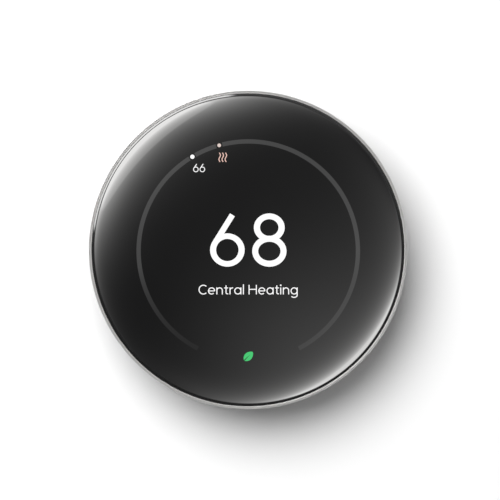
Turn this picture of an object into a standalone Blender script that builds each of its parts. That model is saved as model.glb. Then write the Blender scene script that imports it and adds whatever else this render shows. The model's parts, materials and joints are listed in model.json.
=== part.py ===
"""Round wall thermostat: a base on the wall, a head that pulls off it, a front that presses in and a ring that turns.

The design frame of every piece is x to the right, u up and d out from the wall, all in millimetres. The root empty
turns that frame so that u is world +Z and d is world -Y, with the wall at y = 0.
"""

import math

import bmesh
import bpy
from mathutils import Matrix, Vector

MM = 0.001
PI = math.pi

# ---- driving dimensions, millimetres -------------------------------------------------------------------------------
R_RING = 49.0            # outer radius of the turning ring, the widest part
DEPTH = 27.2             # wall to the top of the lens
R_LENS = 47.1            # edge of the glass
LENS_BACK = 20.3         # flat back of the glass
LENS_H = 8.0             # half axis of the ellipse that the dome follows, along d
LENS_A = 48.4            # half axis of that ellipse, across
R_BASE = 41.5            # base shell
BASE_FRONT = 8.4
GAP = 0.3                # clearance between pieces that touch
PRESS = 0.6              # travel of the front
TAB_TRAVEL = 1.5         # travel of a wire tab
TAB_PITCH = 6.5
TAB_ROWS = 5
SLOT_HALF_SPACING = 31.0 # wall screw slots above and below the centre
SLOT_W = 5.2
SLOT_L = 9.0
R_GUIDE = 38.6           # circle of the guide screws and of the press springs
SEG_OUT = 56             # facets of the round outer pieces
SEG_IN = 36              # facets of the round inner pieces
SEG_SMALL = 16

# ---- scene and collections -----------------------------------------------------------------------------------------
for old in list(bpy.data.objects):
    bpy.data.objects.remove(old, do_unlink=True)
scene = bpy.context.scene


def collection(name):
    made = bpy.data.collections.new(name)
    scene.collection.children.link(made)
    return made


PARTS = collection("wall_thermostat")
CUTTERS = collection("cutters")


def empty(name, parent=None, rot=(0, 0, 0)):
    ob = bpy.data.objects.new(name, None)
    ob.empty_display_size = 0.01
    ob.rotation_euler = rot
    ob.parent = parent
    PARTS.objects.link(ob)
    return ob


ROOT = empty("thermostat_frame", rot=(PI / 2, 0, 0))
BASE = empty("base_frame", ROOT)
HEAD = empty("head_frame", ROOT)
FRONT = empty("front_frame_axis", ROOT)
RING = empty("ring_axis", ROOT)


def material(name, color, rough, metal=0.0, transmission=0.0, emission=None):
    mat = bpy.data.materials.new(name)
    mat.use_nodes = True
    sh = mat.node_tree.nodes["Principled BSDF"]
    sh.inputs["Base Color"].default_value = (*color, 1.0)
    sh.inputs["Roughness"].default_value = rough
    sh.inputs["Metallic"].default_value = metal
    sh.inputs["Transmission Weight"].default_value = transmission
    if emission:
        sh.inputs["Emission Color"].default_value = (*emission, 1.0)
        sh.inputs["Emission Strength"].default_value = 1.0
    return mat


LOOKS = {
    "shell_dark": ((0.035, 0.036, 0.038), 0.45),
    "shell_light": ((0.72, 0.72, 0.70), 0.5),
    "black_gloss": ((0.006, 0.006, 0.007), 0.05),
    "glass": ((0.02, 0.02, 0.022), 0.02, 0.0, 0.6),
    "polished_steel": ((0.78, 0.78, 0.77), 0.09, 1.0),
    "zinc": ((0.62, 0.62, 0.62), 0.3, 1.0),
    "spring_steel": ((0.55, 0.55, 0.55), 0.25, 1.0),
    "brass": ((0.78, 0.60, 0.30), 0.3, 1.0),
    "board_green": ((0.015, 0.13, 0.07), 0.5),
    "board_black": ((0.012, 0.014, 0.014), 0.45),
    "terminal_grey": ((0.25, 0.26, 0.27), 0.5),
    "tab_white": ((0.8, 0.8, 0.78), 0.42),
    "pouch": ((0.62, 0.63, 0.65), 0.35, 0.6),
    "polyimide": ((0.42, 0.20, 0.03), 0.35),
    "ptfe": ((0.86, 0.86, 0.84), 0.5),
    "foam_black": ((0.02, 0.02, 0.02), 0.9),
    "level_green": ((0.45, 0.75, 0.10), 0.05, 0.0, 0.7),
    "diffuser": ((0.82, 0.82, 0.82), 0.4),
}


def finish(ob, look, parent):
    spec = LOOKS[look]
    ob.data.materials.append(
        material(ob.name + "_" + look, spec[0], spec[1], *(spec[2:]))
    )
    ob.parent = parent
    PARTS.objects.link(ob)
    return ob


def cutter(ob):
    """Puts a cutter aside: it takes part in Booleans only."""
    ob.parent = ROOT
    CUTTERS.objects.link(ob)
    ob.hide_render = True
    ob.display_type = "WIRE"
    return ob


def mesh_object(name, bm):
    me = bpy.data.meshes.new(name)
    bm.to_mesh(me)
    bm.free()
    return bpy.data.objects.new(name, me)


# ---- shapes ---------------------------------------------------------------------------------------------------------
def lathe(name, profile, steps, closed):
    """A turned piece: profile points (radius, d), run from the front round the outside to the back."""
    bm = bmesh.new()
    verts = [bm.verts.new((r * MM, 0.0, d * MM)) for r, d in profile]
    for a, b in zip(verts, verts[1:]):
        bm.edges.new((a, b))
    if closed:
        bm.edges.new((verts[-1], verts[0]))
    ob = mesh_object(name, bm)
    mod = ob.modifiers.new("turn", "SCREW")
    mod.axis = "Z"
    mod.angle = 2 * PI
    mod.steps = steps
    mod.render_steps = steps
    mod.use_merge_vertices = True
    mod.merge_threshold = 1e-6
    mod.use_smooth_shade = True
    return ob


def add_box(bm, lo, hi, corner=0.0, steps=3):
    """One box between two corners (x, u, d) in millimetres, its edges along d rounded by corner."""
    size = Vector([(h - l) * MM for l, h in zip(lo, hi)])
    mid = Vector([(h + l) * MM / 2 for l, h in zip(lo, hi)])
    made = bmesh.ops.create_cube(
        bm, size=1.0, matrix=Matrix.Translation(mid) @ Matrix.Diagonal((*size, 1.0))
    )
    if corner:
        upright = [
            e
            for e in {e for v in made["verts"] for e in v.link_edges}
            if abs(e.verts[0].co.z - e.verts[1].co.z) > size.z / 2
        ]
        upright.sort(key=lambda e: (round(e.verts[0].co.x, 6), round(e.verts[0].co.y, 6)))
        bmesh.ops.bevel(
            bm,
            geom=upright,
            offset=corner * MM,
            offset_type="OFFSET",
            segments=steps,
            profile=0.5,
            affect="EDGES",
        )


def add_cyl(bm, x, u, d0, d1, r, seg=SEG_SMALL, r2=None):
    """One cylinder or cone along d."""
    bmesh.ops.create_cone(
        bm,
        cap_ends=True,
        segments=seg,
        radius1=r * MM,
        radius2=(r if r2 is None else r2) * MM,
        depth=(d1 - d0) * MM,
        matrix=Matrix.Translation(Vector((x, u, (d0 + d1) / 2)) * MM),
    )


def add_cyl_x(bm, x0, x1, u, d, r, seg=12):
    """One cylinder along x."""
    bmesh.ops.create_cone(
        bm,
        cap_ends=True,
        segments=seg,
        radius1=r * MM,
        radius2=r * MM,
        depth=(x1 - x0) * MM,
        matrix=Matrix.Translation(Vector(((x0 + x1) / 2, u, d)) * MM)
        @ Matrix.Rotation(PI / 2, 4, "Y"),
    )


def box(name, lo, hi, bevel=0.0, segments=1):
    bm = bmesh.new()
    add_box(bm, lo, hi)
    ob = mesh_object(name, bm)
    if bevel:
        mod = ob.modifiers.new("edges", "BEVEL")
        mod.width = bevel * MM
        mod.segments = segments
        mod.limit_method = "NONE"
    return ob


def shape(name, build):
    bm = bmesh.new()
    build(bm)
    return mesh_object(name, bm)


def boolean(ob, other, operation="DIFFERENCE"):
    mod = ob.modifiers.new(operation.lower(), "BOOLEAN")
    mod.operation = operation
    mod.solver = "EXACT"
    mod.object = other
    return mod


def cut_with(ob, name, build):
    """Cuts away shapes that don't meet one another."""
    boolean(ob, cutter(shape(name, build)))


def join_with(ob, name, build):
    boolean(ob, cutter(shape(name, build)), "UNION")


def plate(name, outline, thick):
    """A flat outline with a thickness, as a filled 2D curve."""
    cu = bpy.data.curves.new(name, "CURVE")
    cu.dimensions = "2D"
    cu.fill_mode = "BOTH"
    cu.extrude = thick / 2 * MM
    sp = cu.splines.new("POLY")
    sp.points.add(len(outline) - 1)
    for p, (a, b) in zip(sp.points, outline):
        p.co = (a * MM, b * MM, 0.0, 1.0)
    sp.use_cyclic_u = True
    return bpy.data.objects.new(name, cu)


def polar(r, deg):
    return r * math.cos(math.radians(deg)), r * math.sin(math.radians(deg))


GUIDE_ANGLES = (90, 210, 330)
SPRING_ANGLES = (30, 150, 270)
BASE_SCREWS = ((25.5, 25.5), (-25.5, -25.5))
PCB_SCREWS = ((20.9, 20.9), (-20.9, -20.9))


def slot_solid(bm, w, l, u, d0, d1):
    """A slot cutter with round ends, upright, centred on x = 0."""
    add_box(bm, (-w / 2, u - l / 2, d0), (w / 2, u + l / 2, d1), w / 2 - 0.1, 4)


# ---- base -----------------------------------------------------------------------------------------------------------
# Back plate: the flat face that meets the wall. The centre stays solid, the wires pass below it.
WIRE_LO, WIRE_HI = (-13.0, -18.5), (13.0, -4.5)
rear = lathe(
    "base_rear_cover",
    [(0, 1.8), (40.8, 1.8), (41.2, 1.4), (41.2, 0.5), (40.7, 0.0), (0, 0.0)],
    SEG_OUT,
    False,
)


def rear_cuts(bm):
    add_box(bm, (WIRE_LO[0], WIRE_LO[1], -1), (WIRE_HI[0], WIRE_HI[1], 3), 3.0)
    for s in (1, -1):
        slot_solid(bm, SLOT_W, SLOT_L, s * SLOT_HALF_SPACING, -1, 3)
    for x, u in BASE_SCREWS:
        add_cyl(bm, x, u, -1, 1.3, 2.7)


def rear_holes(bm):
    for x, u in BASE_SCREWS:
        add_cyl(bm, x, u, 1.0, 3, 1.45, 12)


cut_with(rear, "cut_rear_cover", rear_cuts)
cut_with(rear, "cut_rear_holes", rear_holes)
finish(rear, "shell_light", BASE)

board = lathe(
    "base_pcb", [(0, 2.9), (38.6, 2.9), (38.6, 2.1), (0, 2.1)], SEG_IN, False
)


def board_cuts(bm):
    add_box(bm, (WIRE_LO[0] - 0.5, WIRE_LO[1] - 0.5, 1), (WIRE_HI[0] + 0.5, WIRE_HI[1] + 0.5, 4))
    for s in (1, -1):
        add_cyl(bm, 0, s * SLOT_HALF_SPACING, 1, 4, 5.6)
    for x, u in BASE_SCREWS:
        add_cyl(bm, x, u, 1, 4, 3.5)


cut_with(board, "cut_base_pcb", board_cuts)
finish(board, "board_green", BASE)

shell = lathe(
    "base_housing",
    [
        (0, BASE_FRONT),
        (40.8, BASE_FRONT),
        (R_BASE, BASE_FRONT - 0.7),
        (R_BASE, 2.1),
        (40.0, 2.1),
        (40.0, 7.0),
        (0, 7.0),
    ],
    SEG_OUT,
    False,
)


def shell_bosses(bm):
    for x, u in BASE_SCREWS:
        add_cyl(bm, x, u, 2.1, 7.6, 3.1)


def shell_cuts(bm):
    add_box(bm, (WIRE_LO[0], WIRE_LO[1], 6), (WIRE_HI[0], WIRE_HI[1], 10), 3.0)
    for s in (1, -1):
        add_cyl(bm, 0, s * SLOT_HALF_SPACING, 6, 10, 5.4, 20)
    for s in (1, -1):
        a, b = sorted((s * 18.0, s * 34.0))
        add_box(bm, (a, -17.3, 6), (b, 17.3, 10), 0.8, 2)
    add_box(bm, (-7.9, 9.4, 6), (7.9, 14.6, 10))
    add_box(bm, (-8.3, 19.9, 6), (8.3, 24.3, 10))
    for x, u in BASE_SCREWS:
        add_cyl(bm, x, u, 1, 6.4, 1.4, 12)


join_with(shell, "add_base_bosses", shell_bosses)
cut_with(shell, "cut_base_housing", shell_cuts)
finish(shell, "shell_light", BASE)

TAB_US = [(i - (TAB_ROWS - 1) / 2) * TAB_PITCH for i in range(TAB_ROWS)]
for side, s in (("left", -1), ("right", 1)):
    x0, x1 = sorted((s * 20.6, s * 33.6))
    block = box(f"terminal_block_{side}", (x0, -16.9, 3.2), (x1, 16.9, 8.1))

    def pockets(bm, s=s):
        a, b = sorted((s * 22.4, s * 32.4))
        for u in TAB_US:
            add_box(bm, (a, u - 2.75, 3.7), (b, u + 2.75, 9))

    def wire_holes(bm, s=s):
        a, b = sorted((s * 20.0, s * 23.0))
        for u in TAB_US:
            add_cyl_x(bm, a, b, u, 5.9, 0.95)

    cut_with(block, f"cut_pockets_{side}", pockets)
    cut_with(block, f"cut_wires_{side}", wire_holes)
    finish(block, "terminal_grey", BASE)

# The release tabs: each its own piece, pushed towards the wall.
for side, s in (("l", -1), ("r", 1)):
    x0, x1 = sorted((s * 22.8, s * 30.6))
    for i, u in enumerate(TAB_US):
        tab = box(
            f"wire_tab_{side}{i + 1}",
            (x0 - s * 26.7, -2.4, 6.0),
            (x1 - s * 26.7, 2.4, 9.3),
            0.35,
        )
        tab.location = Vector((s * 26.7, u, 0)) * MM
        finish(tab, "tab_white", BASE)
        # Contact: a flat foot under the tab and a leg that stands behind it.
        clip = plate(
            f"contact_clip_{side}{i + 1}",
            [
                (0.0, 4.0),
                (s * 8.6, 4.0),
                (s * 8.6, 7.4),
                (s * 8.2, 7.4),
                (s * 8.2, 4.3),
                (0.0, 4.3),
            ],
            3.4,
        )
        clip.rotation_euler = (PI / 2, 0, 0)
        clip.location = Vector((s * 23.4, u, 0)) * MM
        finish(clip, "brass", BASE)


def vial(bm):
    add_cyl_x(bm, -7.5, 7.5, 12.0, 6.6, 2.2, 16)


finish(shape("level_vial", vial), "level_green", BASE)

plug = box("base_connector", (-7.6, 20.2, 3.2), (7.6, 24.0, 7.6))
join_with(plug, "add_plug_tongue", lambda bm: add_box(bm, (-7.0, 20.9, 7.0), (7.0, 23.3, 11.6)))
finish(plug, "shell_dark", BASE)


def screw(name, x, u, tip, shoulder, face, r_shank, r_head, parent, look="zinc"):
    """A screw with its head at the back, its tip to the front."""
    ob = lathe(
        name,
        [
            (0, tip),
            (r_shank * 0.55, tip),
            (r_shank, tip - r_shank * 0.5),
            (r_shank, shoulder),
            (r_head, shoulder),
            (r_head, face + 0.25),
            (r_head - 0.3, face),
            (0, face),
        ],
        SEG_SMALL,
        False,
    )
    ob.location = Vector((x, u, 0)) * MM
    return finish(ob, look, parent)


for i, (x, u) in enumerate(BASE_SCREWS):
    screw(f"base_screw_{i + 1}", x, u, 6.0, 1.0, 0.15, 1.1, 2.35, BASE)

# ---- head -----------------------------------------------------------------------------------------------------------
# Rear housing: a cup for the electronics, a recess behind it that the base sits in, and a flange that closes the ring.
housing = lathe(
    "head_rear_housing",
    [
        (0, 11.0),
        (41.7, 11.0),
        (41.7, 15.5),
        (43.2, 15.5),
        (43.2, 10.6),
        (46.3, 10.6),
        (46.3, 10.0),
        (46.0, 9.5),
        (43.8, 6.0),
        (43.2, 5.5),
        (41.9, 5.5),
        (41.9, 9.8),
        (0, 9.8),
    ],
    SEG_OUT,
    False,
)


def housing_bosses(bm):
    for a in GUIDE_ANGLES:
        x, u = polar(R_GUIDE, a)
        add_cyl(bm, x, u, 10.4, 13.2, 3.8)
    for x, u in PCB_SCREWS:
        add_cyl(bm, x, u, 10.4, 13.8, 2.6, 12)


def housing_cuts(bm):
    for a in GUIDE_ANGLES:
        x, u = polar(R_GUIDE, a)
        add_cyl(bm, x, u, 9.0, 11.9, 2.9)
    for x, u in PCB_SCREWS:
        add_cyl(bm, x, u, 11.6, 15, 1.1, 12)
    add_box(bm, (-8.9, 19.4, 9), (8.9, 24.8, 12))
    add_box(bm, (-5.1, -26.8, 9), (5.1, -22.2, 12), 1.2, 2)


def housing_holes(bm):
    for a in GUIDE_ANGLES:
        x, u = polar(R_GUIDE, a)
        add_cyl(bm, x, u, 11.5, 14, 1.75, 12)


join_with(housing, "add_head_bosses", housing_bosses)
cut_with(housing, "cut_head_housing", housing_cuts)
cut_with(housing, "cut_head_holes", housing_holes)
finish(housing, "shell_dark", HEAD)

socket = box("head_connector", (-8.6, 19.7, 9.95), (8.6, 24.5, 13.4))
cut_with(socket, "cut_head_connector", lambda bm: add_box(bm, (-7.5, 20.4, 9), (7.5, 23.8, 12.4)))
finish(socket, "board_black", HEAD)

port = box("service_port", (-4.75, -26.4, 9.95), (4.75, -22.6, 13.6), 0.9, 2)
cut_with(port, "cut_service_port", lambda bm: add_box(bm, (-4.1, -25.75, 9), (4.1, -23.25, 12.9)))
finish(port, "spring_steel", HEAD)

mother = lathe(
    "main_pcb", [(0, 14.9), (33.5, 14.9), (33.5, 14.1), (0, 14.1)], SEG_IN, False
)


def mother_cuts(bm):
    for x, u in PCB_SCREWS:
        add_cyl(bm, x, u, 13, 16, 1.15, 12)


cut_with(mother, "cut_main_pcb", mother_cuts)
finish(mother, "board_black", HEAD)

for i, (x, u) in enumerate(PCB_SCREWS):
    ob = lathe(
        f"pcb_screw_{i + 1}",
        [(0, 15.8), (1.6, 15.8), (1.9, 15.5), (1.9, 15.2), (0.8, 15.2), (0.8, 12.2), (0, 12.0)],
        12,
        False,
    )
    ob.location = Vector((x, u, 0)) * MM
    finish(ob, "zinc", HEAD)

finish(box("battery", (-19, -18.5, 11.4), (19, 9.5, 13.8), 0.7, 2), "pouch", HEAD)


def buzzer(bm):
    add_cyl(bm, 27.5, 0, 11.3, 13.7, 6.0, 20)


finish(shape("buzzer", buzzer), "board_black", HEAD)
finish(box("switch_body", (-2.6, -2.6, 15.12), (2.6, 2.6, 15.5)), "spring_steel", HEAD)
dome = lathe(
    "switch_dome",
    [(0, 15.92), (0.9, 15.88), (1.7, 15.74), (2.0, 15.62), (0, 15.62)],
    SEG_SMALL,
    False,
)
finish(dome, "spring_steel", HEAD)

# Press springs, drawn at the length they have with the front pressed in.
for i, a in enumerate(SPRING_ANGLES):
    turns, per, r_coil, r_wire = 3.0, 9, 1.75, 0.25
    d0, d1 = 11.35, 15.65
    n = int(turns * per)
    cu = bpy.data.curves.new(f"press_spring_{i + 1}", "CURVE")
    cu.dimensions = "3D"
    cu.bevel_depth = r_wire * MM
    cu.bevel_resolution = 1
    cu.use_fill_caps = True
    sp = cu.splines.new("POLY")
    sp.points.add(n)
    for k, p in enumerate(sp.points):
        t = 2 * PI * k / per
        d = d0 + r_wire + (d1 - d0 - 2 * r_wire) * k / n
        p.co = (r_coil * math.cos(t) * MM, r_coil * math.sin(t) * MM, d * MM, 1.0)
    ob = bpy.data.objects.new(f"press_spring_{i + 1}", cu)
    x, u = polar(R_GUIDE, a)
    ob.location = Vector((x, u, 0)) * MM
    finish(ob, "spring_steel", HEAD)

# ---- front ----------------------------------------------------------------------------------------------------------
# Front frame: a rim under the glass, a web that carries the display, and a sleeve that guides the ring and the press.
frame = lathe(
    "front_frame",
    [
        (43.4, 19.4),
        (47.6, 19.4),
        (47.6, 18.1),
        (44.6, 18.1),
        (44.6, 15.9),
        (44.1, 15.9),
        (44.1, 14.5),
        (44.6, 14.5),
        (44.6, 12.8),
        (43.6, 12.8),
        (43.6, 16.6),
        (35.7, 16.6),
        (35.7, 17.8),
        (43.4, 17.8),
    ],
    SEG_IN,
    True,
)


def frame_bosses(bm):
    for a in GUIDE_ANGLES:
        x, u = polar(R_GUIDE, a)
        add_cyl(bm, x, u, 14.0, 17.2, 2.7)


def frame_cuts(bm):
    for a in GUIDE_ANGLES:
        x, u = polar(R_GUIDE, a)
        add_cyl(bm, x, u, 13.0, 16.9, 1.5, 12)
    add_box(bm, (-3.0, -46.5, 12.0), (3.0, -43.0, 15.7))
    add_box(bm, (35.0, -5.0, 16.0), (37.2, 5.0, 18.5))


join_with(frame, "add_frame_bosses", frame_bosses)
cut_with(frame, "cut_front_frame", frame_cuts)
finish(frame, "shell_dark", FRONT)

for i, a in enumerate(GUIDE_ANGLES):
    x, u = polar(R_GUIDE, a)
    screw(f"guide_screw_{i + 1}", x, u, 16.5, 11.6, 10.5, 1.2, 2.5, FRONT)

tray = lathe(
    "display_tray",
    [(0, 17.0), (34.6, 17.0), (34.6, 18.8), (35.2, 18.8), (35.2, 16.6), (0, 16.6)],
    SEG_IN,
    False,
)
finish(tray, "spring_steel", FRONT)
light = lathe(
    "backlight_unit", [(0, 18.5), (34.2, 18.5), (34.2, 17.3), (0, 17.3)], SEG_IN, False
)
finish(light, "diffuser", FRONT)
panel = lathe(
    "display_panel", [(0, 20.0), (35.0, 20.0), (35.0, 19.1), (0, 19.1)], SEG_IN, False
)
finish(panel, "black_gloss", FRONT)
flex = plate(
    "display_flex",
    [(36.1, 19.4), (35.3, 19.4), (35.3, 19.15), (35.85, 19.15), (35.85, 15.95), (30.0, 15.95), (30.0, 15.7), (36.1, 15.7)],
    8.0,
)
flex.rotation_euler = (PI / 2, 0, 0)
finish(flex, "polyimide", FRONT)


def dome_d(r):
    """Height of the glass dome at radius r: an ellipse, steeper towards the edge."""
    return DEPTH - LENS_H + LENS_H * math.sqrt(1 - (r / LENS_A) ** 2)


lens_profile = [(0, DEPTH)]
for r in (10, 18, 25, 31, 36, 40, 43, 45.2, 46.4, R_LENS):
    lens_profile.append((r, dome_d(r)))
lens_profile += [(R_LENS, LENS_BACK + 0.2), (R_LENS - 0.2, LENS_BACK), (0, LENS_BACK)]
finish(lathe("lens", lens_profile, SEG_OUT, False), "glass", FRONT)
finish(
    lathe("lens_gasket", [(44.2, 20.0), (46.8, 20.0), (46.8, 19.7), (44.2, 19.7)], SEG_IN, True),
    "foam_black",
    FRONT,
)
finish(
    lathe(
        "bezel_trim",
        [
            (47.28, 20.86),
            (47.5, 20.76),
            (47.7, 20.55),
            (47.82, 20.2),
            (47.82, 19.7),
            (47.28, 19.7),
        ],
        SEG_OUT,
        True,
    ),
    "black_gloss",
    FRONT,
)
finish(
    lathe("glide_ring", [(45.1, 17.8), (47.3, 17.8), (47.3, 17.4), (45.1, 17.4)], SEG_IN, True),
    "ptfe",
    FRONT,
)
snap = lathe("retaining_ring", [(44.4, 15.6), (45.5, 15.6), (45.5, 14.8), (44.4, 14.8)], SEG_IN, True)
cut_with(snap, "cut_retaining_ring", lambda bm: add_box(bm, (-4.2, -47, 14), (4.2, -43, 16)))
finish(snap, "spring_steel", FRONT)
finish(box("ring_sensor", (-2.4, -45.2, 13.2), (2.4, -43.75, 15.4)), "board_black", FRONT)
finish(box("sensor_board", (-9, 37, 18.1), (9, 41.8, 18.9)), "board_green", FRONT)
finish(box("presence_sensor", (-3, 37.8, 19.2), (3, 41.2, 19.95)), "board_black", FRONT)

# ---- ring -----------------------------------------------------------------------------------------------------------
# Metal ring: a narrow rounded lip beside the glass, then a side that draws in towards the wall.
ring_profile = [
    (47.97, 20.42),
    (48.12, 20.56),
    (48.62, 20.56),
    (48.86, 20.44),
    (49.0, 20.15),
    (R_RING, 18.8),
]
for k in range(1, 6):
    t = k / 5
    ring_profile.append((R_RING - 1.75 * t**1.8, 18.8 - 7.2 * t))
ring_profile += [
    (47.05, 11.4),
    (46.6, 11.4),
    (46.4, 11.6),
    (46.4, 16.0),
    (44.9, 16.0),
    (44.9, 17.1),
    (47.97, 17.1),
]
finish(lathe("metal_ring", ring_profile, SEG_OUT, True), "polished_steel", RING)
finish(
    lathe("encoder_band", [(45.8, 15.6), (46.12, 15.6), (46.12, 12.2), (45.8, 12.2)], SEG_IN, True),
    "board_black",
    RING,
)
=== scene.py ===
"""The looks of the round wall thermostat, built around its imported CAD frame.

Row frame: x right, z up, and -y out from the wall, whose plane is y = 0. Every local shape below is given in
millimetres as (x, u, d): x right, u up, d out from the wall.
"""
import json
import math

import bmesh
import bpy
import numpy as np
from mathutils import Matrix, Vector
from mathutils.geometry import delaunay_2d_cdt

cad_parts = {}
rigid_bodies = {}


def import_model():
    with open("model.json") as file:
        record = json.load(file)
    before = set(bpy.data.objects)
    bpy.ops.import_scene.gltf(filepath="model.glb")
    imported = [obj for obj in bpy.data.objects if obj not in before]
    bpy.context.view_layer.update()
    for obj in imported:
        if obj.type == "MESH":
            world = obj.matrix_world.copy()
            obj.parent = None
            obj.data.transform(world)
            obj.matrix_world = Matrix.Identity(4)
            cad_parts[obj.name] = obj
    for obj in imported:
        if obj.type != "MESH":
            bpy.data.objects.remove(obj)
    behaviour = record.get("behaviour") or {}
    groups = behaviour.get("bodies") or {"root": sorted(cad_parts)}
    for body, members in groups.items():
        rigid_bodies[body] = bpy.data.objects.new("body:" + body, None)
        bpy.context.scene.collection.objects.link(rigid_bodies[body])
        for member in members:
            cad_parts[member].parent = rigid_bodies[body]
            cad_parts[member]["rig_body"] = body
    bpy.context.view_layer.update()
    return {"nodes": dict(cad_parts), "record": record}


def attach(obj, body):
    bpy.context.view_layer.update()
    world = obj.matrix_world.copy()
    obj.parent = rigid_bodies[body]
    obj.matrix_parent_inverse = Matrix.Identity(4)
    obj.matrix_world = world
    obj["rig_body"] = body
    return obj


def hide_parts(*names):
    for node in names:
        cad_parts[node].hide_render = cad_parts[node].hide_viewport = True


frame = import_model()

NODES = frame["nodes"]
SLOT_OF = {p["node"]: p["material_slot"] for p in frame["record"]["subparts"]}
MM = 0.001
TAU = 2 * math.pi
scene = bpy.context.scene


# ===================================================================================================== materials ====
class Shader:
    """A material with one Principled BSDF, and short ways to add the texture nodes that vary it."""

    def __init__(self, name, **sockets):
        self.mat = bpy.data.materials.new(name)
        self.mat.use_nodes = True
        self.tree = self.mat.node_tree
        self.tree.nodes.clear()
        self.out = self.add("ShaderNodeOutputMaterial")
        self.bsdf = self.add("ShaderNodeBsdfPrincipled")
        self.link(self.bsdf.outputs[0], self.out.inputs["Surface"])
        self.coords = self.add("ShaderNodeTexCoord").outputs["Object"]
        for key, value in sockets.items():
            self.put(key, value)

    def add(self, kind, **props):
        node = self.tree.nodes.new(kind)
        for key, value in props.items():
            setattr(node, key, value)
        return node

    def link(self, a, b):
        self.tree.links.new(a, b)

    def put(self, key, value):
        sock = self.bsdf.inputs[key.replace("_", " ")]
        if hasattr(value, "__len__"):
            value = (*value, 1.0) if len(sock.default_value) == 4 and len(value) == 3 else value
        sock.default_value = value

    def math(self, op, *args, clamp=False):
        node = self.add("ShaderNodeMath", operation=op, use_clamp=clamp)
        for sock, arg in zip(node.inputs, args):
            if isinstance(arg, (int, float)):
                sock.default_value = arg
            else:
                self.link(arg, sock)
        return node.outputs[0]

    def noise(self, scale, detail=3.0, rough=0.5, vector=None, dims="3D"):
        node = self.add("ShaderNodeTexNoise", noise_dimensions=dims)
        node.inputs["Scale"].default_value = scale
        node.inputs["Detail"].default_value = detail
        node.inputs["Roughness"].default_value = rough
        self.link(vector or self.coords, node.inputs["Vector"])
        return node.outputs["Fac"]

    def ramp(self, fac, stops):
        node = self.add("ShaderNodeValToRGB")
        els = node.color_ramp.elements
        while len(els) < len(stops):
            els.new(0.5)
        for el, (pos, col) in zip(els, stops):
            el.position = pos
            el.color = (*col, 1.0)
        self.link(fac, node.inputs[0])
        return node.outputs[0]

    def span(self, fac, lo, hi, a=0.3, b=0.7):
        node = self.add("ShaderNodeMapRange")
        for key, val in (("From Min", a), ("From Max", b), ("To Min", lo), ("To Max", hi)):
            node.inputs[key].default_value = val
        self.link(fac, node.inputs["Value"])
        return node.outputs["Result"]

    def bump(self, height, strength, distance, normal=None):
        node = self.add("ShaderNodeBump")
        node.inputs["Strength"].default_value = strength
        node.inputs["Distance"].default_value = distance
        self.link(height, node.inputs["Height"])
        if normal is not None:
            self.link(normal, node.inputs["Normal"])
        return node.outputs[0]

    def turned_coords(self, stretch=1.0):
        """(distance from the dial's axis, depth), so that a texture on it runs round the axis like turning marks."""
        sep = self.add("ShaderNodeSeparateXYZ")
        self.link(self.coords, sep.inputs[0])
        r = self.math("SQRT", self.math("ADD", self.math("MULTIPLY", sep.outputs[0], sep.outputs[0]),
                                        self.math("MULTIPLY", sep.outputs[2], sep.outputs[2])))
        com = self.add("ShaderNodeCombineXYZ")
        self.link(r, com.inputs[0])
        self.link(self.math("MULTIPLY", sep.outputs[1], stretch), com.inputs[1])
        return com.outputs[0]

    def to(self, output, key):
        self.link(output, self.bsdf.inputs[key.replace("_", " ")])


def shade(c, k):
    return tuple(min(1.0, max(0.0, x * k)) for x in c)


def plastic(name, color, rough, grain=0.12, depth=0.012, spread=0.06, vary=0.05, **extra):
    """Moulded plastic: a fine spark-eroded grain, slight shade changes, and handling that polishes patches."""
    s = Shader(name, Base_Color=color, Roughness=rough, **extra)
    s.to(s.ramp(s.noise(260.0, 4.0), [(0.3, shade(color, 1 - vary)), (0.7, shade(color, 1 + vary))]), "Base_Color")
    s.to(s.span(s.noise(420.0, 5.0, 0.6), rough - spread, rough + spread), "Roughness")
    fine = s.noise(1000.0 / grain, 2.0, 0.6)
    s.to(s.bump(fine, 0.35, depth * MM), "Normal")
    return s.mat


def turned_metal(name, color, rough, spread=0.05, depth=0.0015, **extra):
    """Metal finished on a lathe: marks that run round the axis, and a faint change of polish."""
    s = Shader(name, Base_Color=color, Roughness=rough, Metallic=1.0, **extra)
    marks = s.noise(9000.0, 3.0, 0.7, s.turned_coords(), "2D")
    s.to(s.ramp(s.noise(160.0, 3.0), [(0.3, shade(color, 0.97)), (0.7, shade(color, 1.02))]), "Base_Color")
    s.to(s.span(marks, rough - spread, rough + spread), "Roughness")
    s.to(s.bump(marks, 0.3, depth * MM), "Normal")
    return s.mat


def plated_metal(name, color, rough, grain=0.25, depth=0.006, spread=0.07, **extra):
    """Plated or pressed metal: a crystalline relief, and a mottle of tone and polish."""
    s = Shader(name, Base_Color=color, Roughness=rough, Metallic=1.0, **extra)
    cells = s.add("ShaderNodeTexVoronoi", feature="SMOOTH_F1")
    cells.inputs["Scale"].default_value = 1000.0 / grain
    s.link(s.coords, cells.inputs["Vector"])
    s.to(s.ramp(s.noise(500.0, 5.0), [(0.25, shade(color, 0.86)), (0.75, shade(color, 1.06))]), "Base_Color")
    s.to(s.span(s.noise(900.0, 4.0), rough - spread, rough + spread), "Roughness")
    s.to(s.bump(cells.outputs["Distance"], 0.2, depth * MM), "Normal")
    return s.mat


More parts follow.
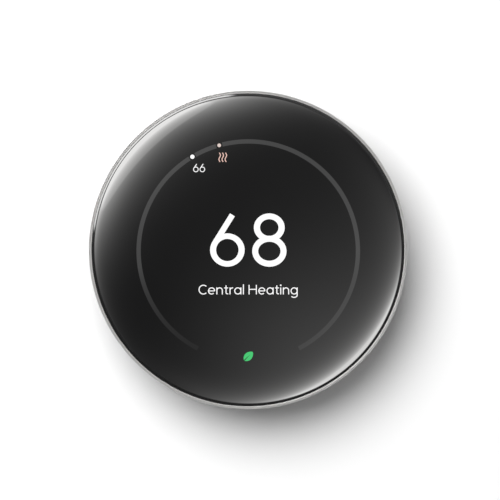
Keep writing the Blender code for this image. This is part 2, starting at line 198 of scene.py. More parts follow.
def board(name, color, copper):
    """Solder mask over copper tracks: the tracks show as lighter bands that stand a hair proud."""
    s = Shader(name, Base_Color=color, Roughness=0.38, IOR=1.5)
    sep = s.add("ShaderNodeSeparateXYZ")
    s.link(s.coords, sep.inputs[0])
    wave = s.add("ShaderNodeTexWave", wave_type="BANDS", bands_direction="DIAGONAL", wave_profile="SIN")
    wave.inputs["Scale"].default_value = 330.0
    wave.inputs["Distortion"].default_value = 9.0
    wave.inputs["Detail"].default_value = 0.0
    wave.inputs["Detail Scale"].default_value = 0.25
    com = s.add("ShaderNodeCombineXYZ")
    s.link(sep.outputs[0], com.inputs[0])
    s.link(sep.outputs[2], com.inputs[1])
    s.link(com.outputs[0], wave.inputs["Vector"])
    tracks = s.math("GREATER_THAN", wave.outputs["Fac"], 0.62)
    patch = s.math("GREATER_THAN", s.noise(90.0, 1.0), 0.47)
    tracks = s.math("MULTIPLY", tracks, patch)
    mix = s.add("ShaderNodeMix", data_type="RGBA")
    mix.inputs[6].default_value = (*color, 1)
    mix.inputs[7].default_value = (*copper, 1)
    s.link(tracks, mix.inputs[0])
    s.to(mix.outputs[2], "Base_Color")
    s.to(s.span(s.noise(700.0, 3.0), 0.32, 0.46), "Roughness")
    s.to(s.bump(tracks, 0.4, 0.03 * MM), "Normal")
    return s.mat


def foam(name):
    s = Shader(name, Base_Color=(0.02, 0.02, 0.02), Roughness=0.92)
    cells = s.add("ShaderNodeTexVoronoi", feature="F1")
    cells.inputs["Scale"].default_value = 5200.0
    s.link(s.coords, cells.inputs["Vector"])
    s.to(s.ramp(cells.outputs["Distance"], [(0.0, (0.006, 0.006, 0.006)), (0.8, (0.035, 0.035, 0.036))]), "Base_Color")
    s.to(s.bump(cells.outputs["Distance"], 0.7, 0.05 * MM), "Normal")
    return s.mat


def film(name, color, rough, metal=0.0, crinkle=0.02):
    s = Shader(name, Base_Color=color, Roughness=rough, Metallic=metal)
    s.to(s.ramp(s.noise(300.0, 4.0), [(0.3, shade(color, 0.9)), (0.7, shade(color, 1.08))]), "Base_Color")
    s.to(s.span(s.noise(700.0, 3.0), rough - 0.06, rough + 0.06), "Roughness")
    s.to(s.bump(s.noise(450.0, 3.0, 0.45), 0.5, crinkle * MM), "Normal")
    return s.mat


def lit(name, color, strength, attribute=None):
    """Lit picture elements under the lens's polish: nearly even light, with the faint row structure of a display."""
    s = Shader(name, Base_Color=(0.0012, 0.0012, 0.0014), Roughness=0.015, IOR=1.8, Emission_Color=color, Emission_Strength=strength)
    rows = s.add("ShaderNodeTexWave", wave_type="BANDS", bands_direction="Z", wave_profile="SIN")
    rows.inputs["Scale"].default_value = 1400.0
    s.link(s.coords, rows.inputs["Vector"])
    even = s.span(rows.outputs["Fac"], 0.97, 1.0, 0.0, 1.0)
    if attribute:
        at = s.add("ShaderNodeAttribute", attribute_type="GEOMETRY", attribute_name=attribute)
        even = s.math("MULTIPLY", even, at.outputs["Fac"])
    s.to(s.math("MULTIPLY", even, strength), "Emission_Strength")
    s.mat.cycles.emission_sampling = "NONE"
    return s.mat


def build_materials():
    m = {}
    m["shell_dark"] = plastic("shell_dark", (0.035, 0.036, 0.038), 0.45, IOR=1.48)
    m["shell_light"] = plastic("shell_light", (0.72, 0.72, 0.70), 0.48, vary=0.02, IOR=1.48)
    m["black_gloss"] = plastic("black_gloss", (0.004, 0.004, 0.0045), 0.07, grain=0.5, depth=0.0004, spread=0.02, IOR=1.5)
    m["polished_steel"] = turned_metal("polished_steel", (0.60, 0.592, 0.583), 0.24, spread=0.04)
    m["satin_steel"] = turned_metal("satin_steel", (0.57, 0.565, 0.56), 0.42)
    # the satin steel again with a lighter colour: a painted highlight for the inner band of the ring's lip
    m["satin_steel_painted_highlight"] = turned_metal("satin_steel_painted_highlight", (0.72, 0.712, 0.705), 0.42)
    m["zinc"] = plated_metal("zinc", (0.62, 0.62, 0.62), 0.30)
    m["spring_steel"] = plated_metal("spring_steel", (0.55, 0.55, 0.55), 0.26, depth=0.003)
    m["brass"] = plated_metal("brass", (0.78, 0.60, 0.30), 0.30, depth=0.003)
    m["board_green"] = board("board_green", (0.012, 0.11, 0.055), (0.03, 0.20, 0.09))
    m["board_black"] = board("board_black", (0.010, 0.012, 0.012), (0.035, 0.038, 0.036))
    m["terminal_grey"] = plastic("terminal_grey", (0.25, 0.26, 0.27), 0.5)
    m["tab_white"] = plastic("tab_white", (0.8, 0.8, 0.78), 0.42, vary=0.015)
    m["pouch"] = film("pouch", (0.62, 0.63, 0.65), 0.35, 0.6, 0.06)
    m["polyimide"] = film("polyimide", (0.42, 0.20, 0.03), 0.35)
    m["ptfe"] = film("ptfe", (0.86, 0.86, 0.84), 0.5, 0.0, 0.01)
    m["foam_black"] = foam("foam_black")
    m["diffuser"] = film("diffuser", (0.82, 0.82, 0.82), 0.4, 0.0, 0.004)
    s = Shader("level_green", Base_Color=(0.45, 0.80, 0.10), Roughness=0.03, Transmission_Weight=0.85, IOR=1.4)
    s.to(s.ramp(s.noise(300.0, 2.0), [(0.3, (0.42, 0.78, 0.08)), (0.7, (0.5, 0.85, 0.14))]), "Base_Color")
    m["level_green"] = s.mat
    s = Shader("glass", Base_Color=(0.0012, 0.0012, 0.0014), Roughness=0.015, IOR=1.8)
    s.to(s.ramp(s.noise(45.0, 3.0), [(0.3, (0.0010, 0.0010, 0.0012)), (0.7, (0.0016, 0.0016, 0.0018))]), "Base_Color")
    s.to(s.span(s.noise(60.0, 3.0), 0.008, 0.022), "Roughness")
    m["glass"] = s.mat
    s = Shader("lens_print", Base_Color=(0.004, 0.004, 0.0042), Roughness=0.6)
    s.to(s.ramp(s.noise(2500.0, 2.0), [(0.3, (0.003, 0.003, 0.0032)), (0.7, (0.005, 0.005, 0.0055))]), "Base_Color")
    m["lens_print"] = s.mat
    return m


MATS = build_materials()


# ================================================================================================= mesh helpers =====
def to_row(x, u, d):
    return Vector((x * MM, -d * MM, u * MM))


def finish_mesh(name, bm, mats, body, sharp=35.0, replaces=()):
    bmesh.ops.recalc_face_normals(bm, faces=bm.faces)
    me = bpy.data.meshes.new(name)
    bm.to_mesh(me)
    bm.free()
    ob = bpy.data.objects.new(name, me)
    scene.collection.objects.link(ob)
    for mat in mats:
        me.materials.append(mat)
    me.shade_smooth()
    me.set_sharp_from_angle(angle=math.radians(sharp))
    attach(ob, body)
    if replaces:
        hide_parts(*replaces)
    return ob


def fillet(points, radii, steps=5, closed=False, hold=0.006):
    """Profile points with the listed corners rounded. radii maps a point's index to its radius.

    A point just beyond each end of a rounding keeps the flats beside it flat when the surface is shaded smooth."""
    out = []
    n = len(points)
    for i, p in enumerate(points):
        r = radii.get(i, 0.0)
        if r <= 0 or (not closed and i in (0, n - 1)):
            out.append(tuple(p))
            continue
        p = np.array(p, float)
        a = np.array(points[(i - 1) % n], float) - p
        b = np.array(points[(i + 1) % n], float) - p
        la, lb = np.linalg.norm(a), np.linalg.norm(b)
        a, b = a / la, b / lb
        ang = math.acos(max(-1, min(1, float(a @ b))))
        cut = r / math.tan(ang / 2)
        cut = min(cut, 0.49 * la, 0.49 * lb)
        r = cut * math.tan(ang / 2)
        mid = (a + b) / np.linalg.norm(a + b)
        c = p + mid * r / math.sin(ang / 2)
        v0, v1 = p + a * cut - c, p + b * cut - c
        t0, t1 = math.atan2(v0[1], v0[0]), math.atan2(v1[1], v1[0])
        dt = (t1 - t0 + math.pi) % TAU - math.pi
        if cut + hold < 0.48 * la:
            out.append(tuple(p + a * (cut + hold)))
        for k in range(steps + 1):
            t = t0 + dt * k / steps
            out.append((c[0] + r * math.cos(t), c[1] + r * math.sin(t)))
        if cut + hold < 0.48 * lb:
            out.append(tuple(p + b * (cut + hold)))
    return out


def turn_into(bm, profile, seg, closed=True, index=None, wave=None):
    """Adds a turned shape. A profile that starts and ends on the axis isn't closed. index maps a span to a material."""
    rings = []
    for r, d in profile:
        if r < 1e-9:
            rings.append([bm.verts.new(to_row(0, 0, d))])
        else:
            ring = []
            for k in range(seg):
                t = TAU * k / seg
                rr, dd = (r, d) if wave is None else wave(r, d, t)
                ring.append(bm.verts.new(to_row(rr * math.cos(t), rr * math.sin(t), dd)))
            rings.append(ring)
    spans = list(zip(range(len(rings) - 1), range(1, len(rings))))
    if closed:
        spans.append((len(rings) - 1, 0))
    for i, j in spans:
        a, b = rings[i], rings[j]
        for k in range(seg):
            l = (k + 1) % seg
            if len(a) == 1 and len(b) == 1:
                continue
            if len(a) == 1:
                f = bm.faces.new((a[0], b[k], b[l]))
            elif len(b) == 1:
                f = bm.faces.new((a[k], b[0], a[l]))
            else:
                f = bm.faces.new((a[k], b[k], b[l], a[l]))
            if index:
                f.material_index = index(i)


# ------------------------------------------------------------------------------------------ refined CAD copies -----
def even_normals(me, limit=50.0):
    """Shading normals weighted by area, so that flats stay flat between small radii and round walls stay round."""
    near = [[] for _ in me.vertices]
    for poly in me.polygons:
        for v in poly.vertices:
            near[v].append((poly.normal.copy(), poly.area))
    gate = math.cos(math.radians(limit))
    normals = []
    for poly in me.polygons:
        for v in poly.vertices:
            total = Vector((0, 0, 0))
            for n, area in near[v]:
                if n.dot(poly.normal) > gate:
                    total += n * area
            normals.append(total.normalized() if total.length > 0 else poly.normal.copy())
    me.normals_split_custom_set(normals)


def refine(node, width=0.12, segments=2, angle=32.0, mat=None, weld=0.002):
    """A new piece from a CAD node: its flat faces made whole again, and every edge given a small moulded radius."""
    src = NODES[node]
    bm = bmesh.new()
    bm.from_mesh(src.data)
    for f in bm.faces:
        f.material_index = 0
    bmesh.ops.remove_doubles(bm, verts=bm.verts, dist=weld * MM)
    bmesh.ops.dissolve_limit(bm, angle_limit=math.radians(0.6), verts=bm.verts, edges=bm.edges)
    if width:
        edges = [e for e in bm.edges if len(e.link_faces) == 2 and e.calc_face_angle(0.0) > math.radians(angle)]
        bmesh.ops.bevel(bm, geom=edges, offset=width * MM, offset_type="OFFSET", segments=segments, profile=0.5,
                        affect="EDGES", clamp_overlap=True)
    me = bpy.data.meshes.new(node + "_fine")
    bm.to_mesh(me)
    bm.free()
    ob = bpy.data.objects.new(node + "_fine", me)
    scene.collection.objects.link(ob)
    me.materials.append(mat or MATS[SLOT_OF[node]])
    me.shade_smooth()
    even_normals(me)
    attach(ob, src["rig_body"])
    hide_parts(node)
    return ob


# ============================================================================================ lens and display ======
LENS_A, LENS_H, LENS_TOP, LENS_BACK, R_LENS = 48.4, 8.0, 27.2, 20.3, 47.35
EYE_TO_LIP = 1026.0      # from the eye to the plane of the ring's lip, where picture sizes were taken


def dome(r):
    return LENS_TOP - LENS_H + LENS_H * math.sqrt(1 - (r / LENS_A) ** 2)


def dome_normal(x, u):
    r = math.hypot(x, u)
    k = LENS_H / (LENS_A ** 2 * math.sqrt(1 - (r / LENS_A) ** 2))
    return Vector((x * k, -1.0, u * k)).normalized()


def on_dome(x, u):
    """Where a point of the dome lies that the eye sees at (x, u) of the lip's plane."""
    k = 1.0
    for _ in range(3):
        k = 1 - (dome(math.hypot(x, u) * k) - 20.6) / EYE_TO_LIP
    return x * k, u * k


def make_lens():
    bm = bmesh.new()
    n = 120
    prof = [(0.0, LENS_TOP)]
    for i in range(1, n + 1):
        r = (R_LENS - 0.03) * math.sin(math.pi / 2 * i / n) ** 0.85
        prof.append((r, dome(r)))
    edge = dome(R_LENS - 0.03)
    glass_end = len(prof) - 1
    prof += [(R_LENS - 0.012, edge - 0.018), (R_LENS - 0.003, edge - 0.04), (R_LENS, edge - 0.07)]
    prof += [(R_LENS, LENS_BACK + 0.1), (R_LENS - 0.1, LENS_BACK), (0.0, LENS_BACK)]
    turn_into(bm, prof, 320, closed=False, index=lambda i: 0 if i < glass_end else 1)
    return finish_mesh("lens_fine", bm, [MATS["glass"], MATS["lens_print"]], "front", 60.0, ("lens",))


def strip(points, width, closed=False, cap0="butt", cap1="butt"):
    """A stroke of even width along a line, as convex quads with mitred joints, and round caps where asked."""
    pts = [np.array(p, float) for p in points]
    n = len(pts)
    left, right = [], []
    for i, p in enumerate(pts):
        if closed:
            a, b = pts[(i - 1) % n], pts[(i + 1) % n]
        else:
            a, b = pts[max(i - 1, 0)], pts[min(i + 1, n - 1)]
        ta, tb = p - a, b - p
        ta = ta / np.linalg.norm(ta) if np.linalg.norm(ta) > 1e-9 else None
        tb = tb / np.linalg.norm(tb) if np.linalg.norm(tb) > 1e-9 else None
        if ta is None:
            ta = tb
        if tb is None:
            tb = ta
        t = ta + tb
        t = t / np.linalg.norm(t)
        nrm = np.array([-t[1], t[0]])
        k = 1 / max(0.35, float(t @ ta))
        left.append(p + nrm * width / 2 * k)
        right.append(p - nrm * width / 2 * k)
    polys = []
    for i in range(n if closed else n - 1):
        j = (i + 1) % n
        polys.append([left[i], right[i], right[j], left[j]])
    for cap, p in ((cap0, pts[0]), (cap1, pts[-1])):
        if cap == "round" and not closed:
            polys.append(disc(p[0], p[1], width / 2, 20))
    return polys


def disc(cx, cy, r, n=40, ry=None):
    ry = r if ry is None else ry
    return [np.array([cx + r * math.cos(TAU * k / n), cy + ry * math.sin(TAU * k / n)]) for k in range(n)]


def arc(cx, cy, rx, ry, a0, a1, n=24):
    return [(cx + rx * math.cos(math.radians(a0 + (a1 - a0) * k / n)),
             cy + ry * math.sin(math.radians(a0 + (a1 - a0) * k / n))) for k in range(n + 1)]


def ring_polys(cx, cy, rx, ry, hx, hy, n=72, hole_dy=0.0):
    """An elliptical ring between an outer and a hole ellipse."""
    out = []
    for k in range(n):
        a, b = TAU * k / n, TAU * (k + 1) / n
        out.append([np.array([cx + rx * math.cos(a), cy + ry * math.sin(a)]),
                    np.array([cx + rx * math.cos(b), cy + ry * math.sin(b)]),
                    np.array([cx + hx * math.cos(b), cy + hole_dy + hy * math.sin(b)]),
                    np.array([cx + hx * math.cos(a), cy + hole_dy + hy * math.sin(a)])])
    return out


def lit_piece(name, polys, mat, proud=0.010, deep=0.05, level=None):
    """Joins overlapping flat shapes into one outline and lays it in the lens's surface, as a thin curved inlay."""
    verts, faces, lookup = [], [], {}
    for poly in polys:
        area = 0.0
        for a, b in zip(poly, poly[1:] + poly[:1]):
            area += a[0] * b[1] - a[1] * b[0]
        if area < 0:
            poly = poly[::-1]
        ids = []
        for p in poly:
            key = (round(float(p[0]), 5), round(float(p[1]), 5))
            if key not in lookup:
                lookup[key] = len(verts)
                verts.append(Vector(key))
            if not ids or ids[-1] != lookup[key]:
                ids.append(lookup[key])
        if len(ids) > 2 and ids[0] == ids[-1]:
            ids.pop()
        if len(ids) > 2:
            faces.append(ids)
    ov, _, of, _, _, orig = delaunay_2d_cdt(verts, [], faces, 1, 1e-6)
    bm = bmesh.new()
    top, low = [], []
    shift = [on_dome(p[0], p[1]) for p in ov]
    top = [bm.verts.new(to_row(x, u, dome(math.hypot(x, u)) + proud)) for x, u in shift]
    low = [bm.verts.new(to_row(x, u, dome(math.hypot(x, u)) - deep)) for x, u in shift]
    used = {}
    for f, src in zip(of, orig):
        if not src:
            continue
        bm.faces.new([top[i] for i in f])
        bm.faces.new([low[i] for i in reversed(f)])
        for a, b in zip(f, list(f[1:]) + [f[0]]):
            used[(a, b)] = used.get((a, b), 0) + 1
    for (a, b), _ in list(used.items()):
        if (b, a) not in used:
            bm.faces.new((top[b], top[a], low[a], low[b]))
    loose = [v for v in bm.verts if not v.link_faces]
    bmesh.ops.delete(bm, geom=loose, context="VERTS")
    if level:
        layer = bm.verts.layers.float.new("glow")
        for v in bm.verts:
            v[layer] = level(v.co.x / MM, v.co.z / MM)
    ob = finish_mesh(name, bm, [mat], "front", 30.0)
    me = ob.data
    normals = []
    for poly in me.polygons:
        front = poly.normal.y < -0.5
        for v in poly.vertices:
            co = me.vertices[v].co
            normals.append(dome_normal(co.x / MM, co.z / MM) if front else poly.normal.copy())
    me.normals_split_custom_set(normals)
    return ob


def glow_of_arc(x, u):
    """The arc's light: even over its upper half and fading towards its two ends."""
    th = math.degrees(math.atan2(u + 0.24, x + 0.1)) % 360
    table = ((0, 0.050), (188, 0.050), (196, 0.036), (204, 0.026), (216, 0.0185), (228, 0.0125), (240, 0.0075),
             (250, 0.006), (290, 0.014), (297.5, 0.016), (309, 0.021), (321, 0.026), (333, 0.030), (345, 0.037), (357, 0.048), (360, 0.050))
    for (a, va), (b, vb) in zip(table, table[1:]):
        if a <= th <= b:
            return va + (vb - va) * (th - a) / (b - a)
    return 0.05


def six(cx, cy, rx, ry, hx, hy, top, w):
    """A six: a rounded bowl and a straight stem that leaves it as a tangent and is cut square at its top."""
    polys = ring_polys(cx, cy, rx, ry, hx, hy, 96)
    best = None
    for k in range(2000):
        ang = math.radians(100 + 70 * k / 2000)         # where the stem's outer edge leaves the bowl's outer edge
        tx, ty = cx + rx * math.cos(ang), cy + ry * math.sin(ang)
        dx, dy = rx * math.sin(ang), -ry * math.cos(ang)  # up along the tangent
        size = math.hypot(dx, dy)
        dx, dy = dx / size, dy / size
        nx, ny = dy, -dx                                # in towards the bowl
        mx, my = tx + nx * w / 2, ty + ny * w / 2
        length = (top - my - abs(ny) * w / 2) / dy
        ex, ey = mx + dx * length, my + dy * length
        if best is None or abs(ex - six.end_x) < best[0]:
            best = (abs(ex - six.end_x), (mx, my), (ex, ey))
    (ax, ay), (bx, by) = best[1], best[2]
    n = max(1, int(math.hypot(bx - ax, by - ay) / 1.2))
    return polys + strip([(ax + (bx - ax) * k / n, ay + (by - ay) * k / n) for k in range(n + 1)], w)


def make_display():
    white = lit("pixels_white", (1.0, 1.0, 1.0), 1.06)
    grey = lit("pixels_arc", (1.0, 1.0, 1.0), 1.0, "glow")
    salmon = lit("pixels_warm", (0.86, 0.57, 0.49), 1.0)
    green = lit("pixels_green", (0.04, 0.56, 0.15), 1.0)

    a0, a1 = -62.5, 242.6
    track = []
    for b0, b1 in ((a0, 103.7), (107.0, 118.9), (122.4, a1)):
        m = max(8, int((b1 - b0) * 0.8))
        track += strip(arc(0.10, -0.38, 33.755, 33.755, b0, b1, m), 1.33)
    lit_piece("display_arc", track, grey, level=glow_of_arc)

    six.end_x = -4.78
    lit_piece("display_digit_six", six(-6.34, -0.05, 5.31, 5.12, 3.46, 3.42, 11.23, 1.74), white)
    lit_piece("display_digit_eight",
              ring_polys(6.56, 6.86, 4.74, 4.35, 2.85, 2.58, 96) +
              ring_polys(6.59, -0.43, 5.27, 4.76, 3.44, 2.93, 96), white)
    small = []
    for cx in (-16.03, -14.04):
        six.end_x = cx + 0.26
        small += six(cx, 24.76, 0.84, 0.84, 0.61, 0.61, 26.50, 0.235)
    lit_piece("display_set_value", small, white)

    lit_piece("display_dot_set", [disc(-17.1, 28.65, 0.66)], white, proud=0.016)
    lit_piece("display_dot_now", [disc(-8.85, 32.17, 0.57)], lit("pixels_pale_warm", (0.76, 0.63, 0.58), 1.0), proud=0.016)

    waves = []
    for xc in (-8.70, -7.75, -6.80):
        pts = [(xc - 0.23 * math.sin((TAU + 0.5) * k / 24 - 0.25), 27.16 + 2.64 * k / 24) for k in range(25)]
        waves += strip(pts, 0.285, cap0="round", cap1="round")
    lit_piece("display_heat_icon", waves, salmon)

    make_label(white)
    make_leaf(green)


def make_label(mat):
    """A generic line of wording in a plain single-stroke alphabet drawn here."""
    w, cap, xh, asc, dep = 0.288, 2.93, 2.13, 3.08, -1.06
    h = w / 2
    ow, oh = 1.05, xh / 2 + 0.03            # outer half width and height of a round letter

    def bowl(x):
        return strip([(x + ow + (ow - h) * math.cos(TAU * k / 40), xh / 2 + (oh - h) * math.sin(TAU * k / 40))
                      for k in range(40)], w, closed=True)

    def stem(x, a, b):
        return strip([(x, a), (x, b)], w)

    def arch(x, width):
        r = (width - w) / 2
        return strip([(x + h, xh - h - r * 0.98 + 0.03)] + arc(x + h + r, xh - h - r + 0.03, r, r, 180, 0, 18)[1:] + [(x + width - h, 0)], w)

    def letter(ch, x):
        if ch == "C":
            rx, ry = 1.40 - h, cap / 2 + 0.03 - h
            return strip(arc(x + 1.40, cap / 2, rx, ry, 47, 313, 40), w), 2.42
        if ch == "l":
            return stem(x + h, 0, asc), w
        if ch == "H":
            wd = 2.45
            return stem(x + h, 0, cap) + stem(x + wd - h, 0, cap) + strip([(x + h, cap * 0.53), (x + wd - h, cap * 0.53)], w), wd
        if ch == "n":
            return stem(x + h, 0, xh) + arch(x, 1.88), 1.88
        if ch == "a":
            return bowl(x) + stem(x + 2 * ow - h, 0, xh), 2 * ow
        if ch == "g":
            r = ow - h
            hook = [(x + 2 * ow - h, xh)] + arc(x + ow, dep + h + 0.66, r, 0.66, 0, -148, 18)
            return bowl(x) + strip(hook, w), 2 * ow
        if ch == "r":
            r = 0.80
            return stem(x + h, 0, xh) + strip(arc(x + h + r, xh - h - r + 0.03, r, r, 180, 82, 12), w), 1.12
        if ch == "e":
            rx, ry = ow - h, oh - h
            return (strip([(x + h, xh / 2), (x + 2 * ow - h, xh / 2)], w * 0.92) +
                    strip(arc(x + ow, xh / 2, rx, ry, 0, 312, 36), w)), 2 * ow
        if ch == "t":
            return (strip([(x + 0.52, 2.76), (x + 0.52, 0.55)] + arc(x + 0.52 + 0.38, 0.55, 0.38, 0.38, 180, 262, 8)[1:] + [(x + 1.16, 0.165)], w) +
                    strip([(x, xh - h), (x + 1.14, xh - h)], w * 0.94)), 1.18
        if ch == "i":
            return stem(x + h, 0, xh) + [disc(x + h, 2.80, 0.25, 24)], w
        return [], 0.0

    gaps = {"C": 0.34, "e": 0.34, "n": 0.42, "t": 0.36, "r": 0.24, "a": 0.44, "l": 0.40, "H": 0.44, "i": 0.48, "g": 0.40}
    flat = []
    for word, x0, x1 in (("Central", -15.2, -1.25), ("Heating", 0.20, 15.30)):
        polys, x = [], 0.0
        for ch in word:
            made, adv = letter(ch, x)
            polys += made
            x += adv + gaps[ch]
        scale = (x1 - x0) / (x - gaps[word[-1]])
        for poly in polys:
            flat.append([np.array([x0 + p[0] * scale, -13.71 + p[1]]) for p in poly])
    lit_piece("display_label", flat, mat)


def make_leaf(mat):
    """A plain pointed leaf, split by its vein."""
    cx, cy, ang = 0.15, -32.75, math.radians(45)
    ca, sa = math.cos(ang), math.sin(ang)

    def place(p):
        return np.array([cx + p[0] * ca - p[1] * sa, cy + p[0] * sa + p[1] * ca])

    n = 22
    polys = []
    length, half, gap = 1.86, 1.32, 0.15

    def edge(t):
        return half * math.sin(math.pi * t) ** 0.62 * (1 - 0.18 * t)

    for side in (1, -1):
        for k in range(n):
            t0, t1 = k / n, (k + 1) / n
            x0, x1 = -length + 2 * length * t0, -length + 2 * length * t1
            g0 = gap * max(0.0, 1 - 1.35 * t0)
            g1 = gap * max(0.0, 1 - 1.35 * t1)
            y0, y1 = edge(t0), edge(t1)
            polys.append([place((x0, side * min(g0, y0))), place((x1, side * min(g1, y1))),
                          place((x1, side * y1)), place((x0, side * y0))])
    lit_piece("display_leaf", polys, mat)


make_lens()
make_display()


# ========================================================================================== trim, ring, housings ====
def make_trim():
    bm = bmesh.new()
    pts = [(47.50, 20.86), (47.525, 20.895), (48.105, 20.373), (48.105, 19.7), (47.50, 19.7)]
    prof = fillet(pts, {0: 0.012, 1: 0.016, 2: 0.02, 3: 0.06, 4: 0.06}, 4, closed=True)
    turn_into(bm, prof, 320)
    return finish_mesh("bezel_trim_fine", bm, [MATS["black_gloss"]], "front", 40.0, ("bezel_trim",))


def make_ring():
    bm = bmesh.new()
    pts = [(48.14, 20.20), (48.165, 20.40), (48.47, 20.465), (48.96, 20.44), (49.0, 20.40), (49.0, 18.8)]
    for k in range(1, 25):
        t = k / 24
        pts.append((49.0 - 1.75 * t ** 1.8, 18.8 - 7.2 * t))
    pts += [(47.05, 11.4), (46.6, 11.4), (46.4, 11.6), (46.4, 16.0), (44.9, 16.0), (44.9, 17.1), (48.14, 17.1)]
    n = len(pts)
    prof = fillet(pts, {0: 0.04, 1: 0.03, 2: 0.10, 3: 0.012, 4: 0.012, n - 7: 0.12, n - 6: 0.12, n - 5: 0.1, n - 4: 0.15, n - 3: 0.1, n - 2: 0.1}, 6, closed=True)
    # the lip's inner band takes the lighter copy of the satin steel, a painted highlight; its outer band takes the
    # plain satin steel
    def zone(i):
        j = (i + 1) % len(prof)
        if min(prof[i][1], prof[j][1]) < 20.3:
            return 0
        return 2 if max(prof[i][0], prof[j][0]) < 48.62 else 1

    turn_into(bm, prof, 320, index=zone)
    return finish_mesh("metal_ring_fine", bm, [MATS["polished_steel"], MATS["satin_steel"], MATS["satin_steel_painted_highlight"]], "ring", 50.0, ("metal_ring",))


make_trim()
make_ring()

for name in ("head_rear_housing", "base_housing", "base_rear_cover", "terminal_block_left", "terminal_block_right",
             "head_connector", "base_connector", "service_port"):
    refine(name, 0.12 if "housing" in name or "cover" in name else 0.1)
for side in "lr":
    for i in range(1, 6):
        refine(f"wire_tab_{side}{i}", 0.1)

for name, node in NODES.items():
    if not node.hide_render:
        node.data.materials.clear()
        node.data.materials.append(MATS[SLOT_OF[name]])
        node.data.shade_smooth()
        node.data.set_sharp_from_angle(angle=math.radians(35))


# ================================================================================================ wall and studio ===
def make_wall():
    """A pale wall, open behind the base so that its back can be lit, seen from the front side only."""
    s = Shader("wall_paint", Base_Color=(0.8, 0.8, 0.8), Roughness=0.9)
    s.to(s.ramp(s.noise(70.0, 3.0), [(0.3, (0.798, 0.798, 0.798)), (0.7, (0.802, 0.802, 0.802))]), "Base_Color")
    s.to(s.bump(s.noise(900.0, 3.0), 0.1, 0.01 * MM), "Normal")
    back = s.add("ShaderNodeNewGeometry").outputs["Backfacing"]
    clear = s.add("ShaderNodeBsdfTransparent")
    mix = s.add("ShaderNodeMixShader")
    s.link(back, mix.inputs[0])
    s.link(s.bsdf.outputs[0], mix.inputs[1])
    s.link(clear.outputs[0], mix.inputs[2])
    s.link(mix.outputs[0], s.out.inputs["Surface"])
    bm = bmesh.new()
    seg, half = 96, 1.5
    inner = [bm.verts.new((0.0405 * math.cos(TAU * k / seg), 0.0002, 0.0405 * math.sin(TAU * k / seg))) for k in range(seg)]
    outer = []
    for k in range(seg):
        t = TAU * k / seg
        m = max(abs(math.cos(t)), abs(math.sin(t)))
        outer.append(bm.verts.new((half * math.cos(t) / m, 0.0002, half * math.sin(t) / m)))
    for k in range(seg):
        l = (k + 1) % seg
        bm.faces.new((inner[k], outer[k], outer[l], inner[l]))
    bm.normal_update()
    if bm.faces[:][0].normal.y > 0:
        bmesh.ops.reverse_faces(bm, faces=bm.faces)
    me = bpy.data.meshes.new("wall")
    bm.to_mesh(me)
    bm.free()
    ob = bpy.data.objects.new("wall", me)
    me.materials.append(s.mat)
    scene.collection.objects.link(ob)
    return ob


def make_floor():
    s = Shader("floor_paint", Base_Color=(0.8, 0.8, 0.79), Roughness=0.7)
    s.to(s.ramp(s.noise(40.0, 4.0), [(0.3, (0.79, 0.79, 0.78)), (0.7, (0.81, 0.81, 0.80))]), "Base_Color")
    me = bpy.data.meshes.new("floor")
    bm = bmesh.new()
    bmesh.ops.create_grid(bm, x_segments=8, y_segments=8, size=1.5)
    bm.to_mesh(me)
    bm.free()
    ob = bpy.data.objects.new("floor", me)
    ob.location = (0, -1.5, -0.45)
    me.materials.append(s.mat)
    scene.collection.objects.link(ob)
    ob.visible_glossy = False
    ob.visible_diffuse = False
    return ob


make_wall()
make_floor()

# Lobes of the studio that glossy surfaces reflect: azimuth and angle from the viewing axis in degrees, sharpness, level.
LOBES = (
    (315, 75, 8, 8.2), (135, 90, 8, 58.74), (105, 45, 32, 1.162), (285, 60, 8, 1.8), (0, 45, 8, 0.711),
    (150, 45, 32, 2.434), (300, 15, 32, 0.473), (90, 75, 8, 1.673), (315, 105, 8, 88.0), (195, 90, 4, 0.541),
    (120, 45, 16, 0.721),
)
GAIN = 0.49                    # the lens mirrors twice what plain glass does, so its studio is this much dimmer
CONSTANT, SOFTBOX, CAP, CAP_LOW = 0.030, 0.95, 9.3, 7.6
SIDE_LOW, SIDE_TOP, SIDE_BOX = 0.25, 0.70, 13.0


def direction(azimuth, polar):
    a, p = math.radians(azimuth), math.radians(polar)
    return Vector((math.sin(p) * math.cos(a), -math.cos(p), math.sin(p) * math.sin(a)))


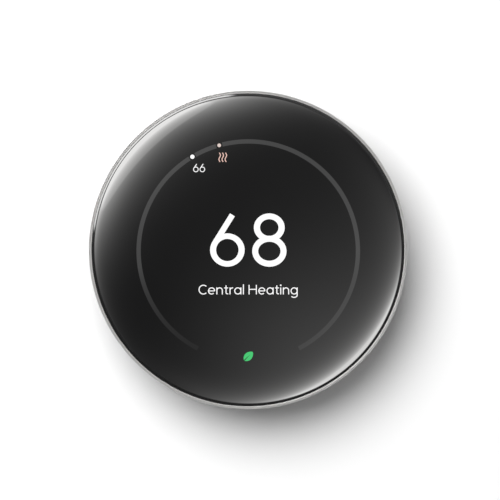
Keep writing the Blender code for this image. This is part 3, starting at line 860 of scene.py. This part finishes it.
def make_world():
    world = bpy.data.worlds.new("studio")
    world.use_nodes = True
    world.cycles.sampling_method = "NONE"
    scene.world = world
    nt = world.node_tree
    nt.nodes.clear()

    def add(kind, **props):
        node = nt.nodes.new(kind)
        for key, value in props.items():
            setattr(node, key, value)
        return node

    def math_(op, *args):
        node = add("ShaderNodeMath", operation=op)
        for sock, arg in zip(node.inputs, args):
            if isinstance(arg, (int, float)):
                sock.default_value = arg
            else:
                nt.links.new(arg, sock)
        return node.outputs[0]

    ray = add("ShaderNodeTexCoord").outputs["Generated"]

    def dot(vec):
        node = add("ShaderNodeVectorMath", operation="DOT_PRODUCT")
        nt.links.new(ray, node.inputs[0])
        node.inputs[1].default_value = vec
        return node.outputs["Value"]

    total = None
    for az, pol, k, level in LOBES:
        term = math_("MULTIPLY", math_("EXPONENT", math_("MULTIPLY_ADD", dot(direction(az, pol)), k, -k)), level * GAIN)
        total = term if total is None else math_("ADD", total, term)
    def smooth(value, a, b):
        node = add("ShaderNodeMapRange", interpolation_type="SMOOTHSTEP")
        node.inputs["From Min"].default_value = a
        node.inputs["From Max"].default_value = b
        nt.links.new(value, node.inputs["Value"])
        return node.outputs[0]

    edge = smooth(dot(direction(134, 65.4)), math.cos(math.radians(28.6)), math.cos(math.radians(26.6)))
    ahead = smooth(dot(Vector((0, -1, 0))), 0.13, 0.35)       # 1 in front, 0 towards the sides
    lens_end = smooth(dot(Vector((0, -1, 0))), 0.10, 0.20)    # 0 only where no part of the lens mirrors from the front
    aside = math_("SUBTRACT", 1.0, ahead)
    side = math_("MULTIPLY_ADD", smooth(dot(Vector((0, 0, 1))), -0.35, 0.9), SIDE_TOP, SIDE_LOW)
    box = smooth(dot(direction(134, 90)), math.cos(math.radians(40)), math.cos(math.radians(36)))
    box = math_("MULTIPLY", box, math_("SUBTRACT", 1.0, smooth(dot(Vector((0, 1, 0))), 0.03, 0.3)))
    box = math_("MULTIPLY", math_("MULTIPLY", box, SIDE_BOX), math_("SUBTRACT", 1.0, lens_end))
    total = math_("ADD", math_("MULTIPLY", total, ahead), math_("MULTIPLY", edge, SOFTBOX))
    cap = math_("MULTIPLY_ADD", smooth(dot(direction(135, 90)), -0.2, 0.2), CAP - CAP_LOW, CAP_LOW)
    total = math_("MINIMUM", math_("ADD", total, CONSTANT), cap)
    total = math_("ADD", total, math_("MULTIPLY_ADD", side, aside, box))

    def background(color, strength=None):
        node = add("ShaderNodeBackground")
        node.inputs["Color"].default_value = (*color, 1)
        if isinstance(strength, float):
            node.inputs["Strength"].default_value = strength
        elif strength is not None:
            nt.links.new(strength, node.inputs["Strength"])
        return node.outputs[0]

    # the room behind the wall is brighter, so that the back of the base reads when it is looked at from there
    behind = add("ShaderNodeMapRange")
    behind.inputs["From Min"].default_value = -0.05
    behind.inputs["From Max"].default_value = 0.25
    behind.inputs["To Min"].default_value = AMBIENT
    behind.inputs["To Max"].default_value = 0.80
    nt.links.new(dot(Vector((0, 1, 0))), behind.inputs["Value"])

    path = add("ShaderNodeLightPath")
    mix1 = add("ShaderNodeMixShader")
    mirrored = math_("MULTIPLY", path.outputs["Is Glossy Ray"], math_("LESS_THAN", path.outputs["Diffuse Depth"], 0.5))
    nt.links.new(mirrored, mix1.inputs[0])
    form = math_("MULTIPLY_ADD", dot(Vector((-0.50, 0.0, 0.866))), 0.45, 0.75)
    nt.links.new(background((1.0, 1.0, 1.0), math_("MULTIPLY", behind.outputs[0], form)), mix1.inputs[1])
    nt.links.new(background((1.0, 0.995, 0.985), total), mix1.inputs[2])
    mix2 = add("ShaderNodeMixShader")
    nt.links.new(path.outputs["Is Camera Ray"], mix2.inputs[0])
    nt.links.new(mix1.outputs[0], mix2.inputs[1])
    nt.links.new(background((0.93, 0.93, 0.93), 1.0), mix2.inputs[2])
    out = add("ShaderNodeOutputWorld")
    nt.links.new(mix2.outputs[0], out.inputs["Surface"])


AMBIENT = 0.46
make_world()


def make_key():
    """The large soft light, up and to the left, that throws the shadow on the wall."""
    light = bpy.data.lights.new("key_softbox", "AREA")
    light.shape = "DISK"
    light.size = 1.05
    light.energy = 20.6
    light.use_shadow = True
    ob = bpy.data.objects.new("key_softbox", light)
    d = direction(125, 31)
    ob.location = d * 1.2
    ob.rotation_mode = "QUATERNION"
    ob.rotation_quaternion = d.to_track_quat("Z", "Y")
    scene.collection.objects.link(ob)
    ob.visible_glossy = False
    ob.visible_transmission = False
    ob.visible_camera = False
    return ob


make_key()

cam = bpy.data.cameras.new("camera")
cam.lens = 240.0
cam.sensor_width = 36.0
cam.clip_start, cam.clip_end = 0.05, 20.0
eye = bpy.data.objects.new("camera", cam)
FRAME_WIDTH = 153.9
eye.location = (0.63 * MM, -20.6 * MM - FRAME_WIDTH * MM * cam.lens / cam.sensor_width, -0.05 * MM)
eye.rotation_euler = (math.pi / 2, 0, 0)
scene.collection.objects.link(eye)
scene.camera = eye

scene.view_settings.view_transform = "Standard"
scene.view_settings.look = "None"
scene.view_settings.exposure = 0.0
scene.view_settings.gamma = 1.0
